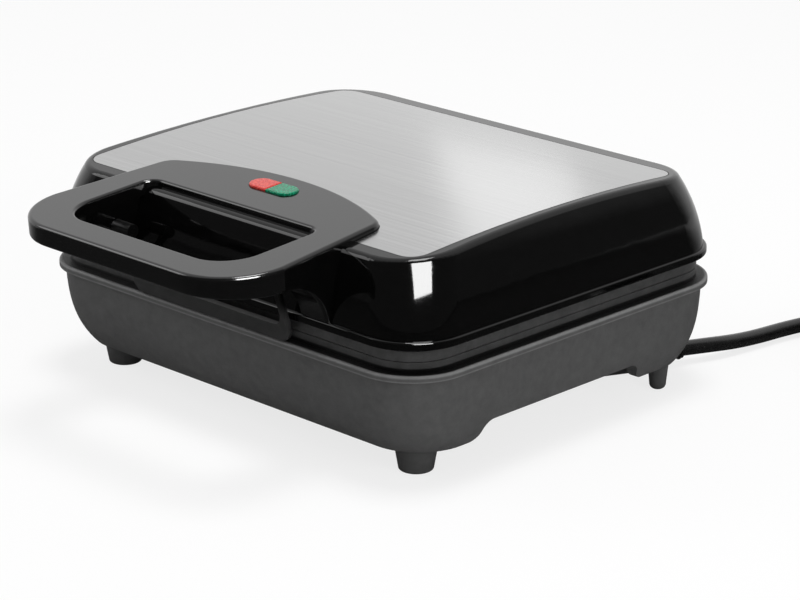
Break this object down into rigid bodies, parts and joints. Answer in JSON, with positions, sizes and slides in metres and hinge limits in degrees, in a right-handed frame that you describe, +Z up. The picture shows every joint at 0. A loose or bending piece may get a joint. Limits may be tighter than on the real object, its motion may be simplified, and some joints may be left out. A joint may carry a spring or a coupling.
{
  "type": "donut maker",
  "caption": "Closed clamshell electric ring-cake baker: bucket base on feet, hinged gloss lid with inset steel panel, loop handle, lens pair, clip latch, ring-cavity plates and mains cord.",
  "frame": {"origin": "middle of the footprint, without the cord, on the table under the feet", "axes": "+X to the right along the front edge, +Y from the handle to the hinge, +Z up"},
  "size_m": [0.3246, 0.3804, 0.0979],
  "materials": {
    "base_plastic": "fine moulded texture",
    "nonstick": "dark non-stick coating",
    "screw_steel": "plain",
    "element": "heat-dulled",
    "reflector": "mill finish",
    "sleeve": "glass sleeving",
    "inner_plastic": "plain",
    "lead": "insulated",
    "lid_gloss": "high gloss",
    "panel_steel": "brushed across",
    "handle_gloss": "gloss",
    "green_lens": "stippled, clear",
    "red_lens": "stippled, clear",
    "lamp_glass": "clear",
    "latch_plastic": "satin",
    "cord_cover": "smooth sheath",
    "plug_metal": "nickel plated"
  },
  "bodies": {
    "base": {"base_shell": "base_plastic", "front_feet": "base_plastic", "rear_feet": "base_plastic", "lower_plate": "nonstick", "lower_plate_screws": "screw_steel", "lower_heater": "element", "lower_reflector": "reflector", "thermostat": "reflector", "thermal_fuse": "sleeve", "terminal_block": "inner_plastic", "cord_clamp": "inner_plastic", "base_wiring": "lead", "hinge_pins": "screw_steel", "strain_relief": "cord_cover", "cord": "cord_cover", "cord_coil": "cord_cover", "cord_tie": "inner_plastic", "plug": "cord_cover", "plug_pins": "plug_metal"},
    "lid": {"lid_shell": "lid_gloss", "steel_panel": "panel_steel", "handle": "handle_gloss", "red_lens": "red_lens", "green_lens": "green_lens", "lamp_holder": "inner_plastic", "indicator_lamps": "lamp_glass", "upper_plate": "nonstick", "upper_heater": "element", "upper_reflector": "reflector", "upper_plate_screws": "screw_steel", "lid_wiring": "lead", "latch_pins": "screw_steel"},
    "latch": {"latch": "latch_plastic"}
  },
  "joints": [
    {"name": "lid_hinge", "type": "hinge", "parent": "base", "child": "lid", "pos_m": [0, 0.12354, 0.0555], "axis": [-1, 0, 0], "range_deg": [0, 105]},
    {"name": "latch_hinge", "type": "hinge", "parent": "lid", "child": "latch", "pos_m": [0, -0.08166, 0.0778], "axis": [-1, 0, 0], "range_deg": [0, 80]}
  ]
}
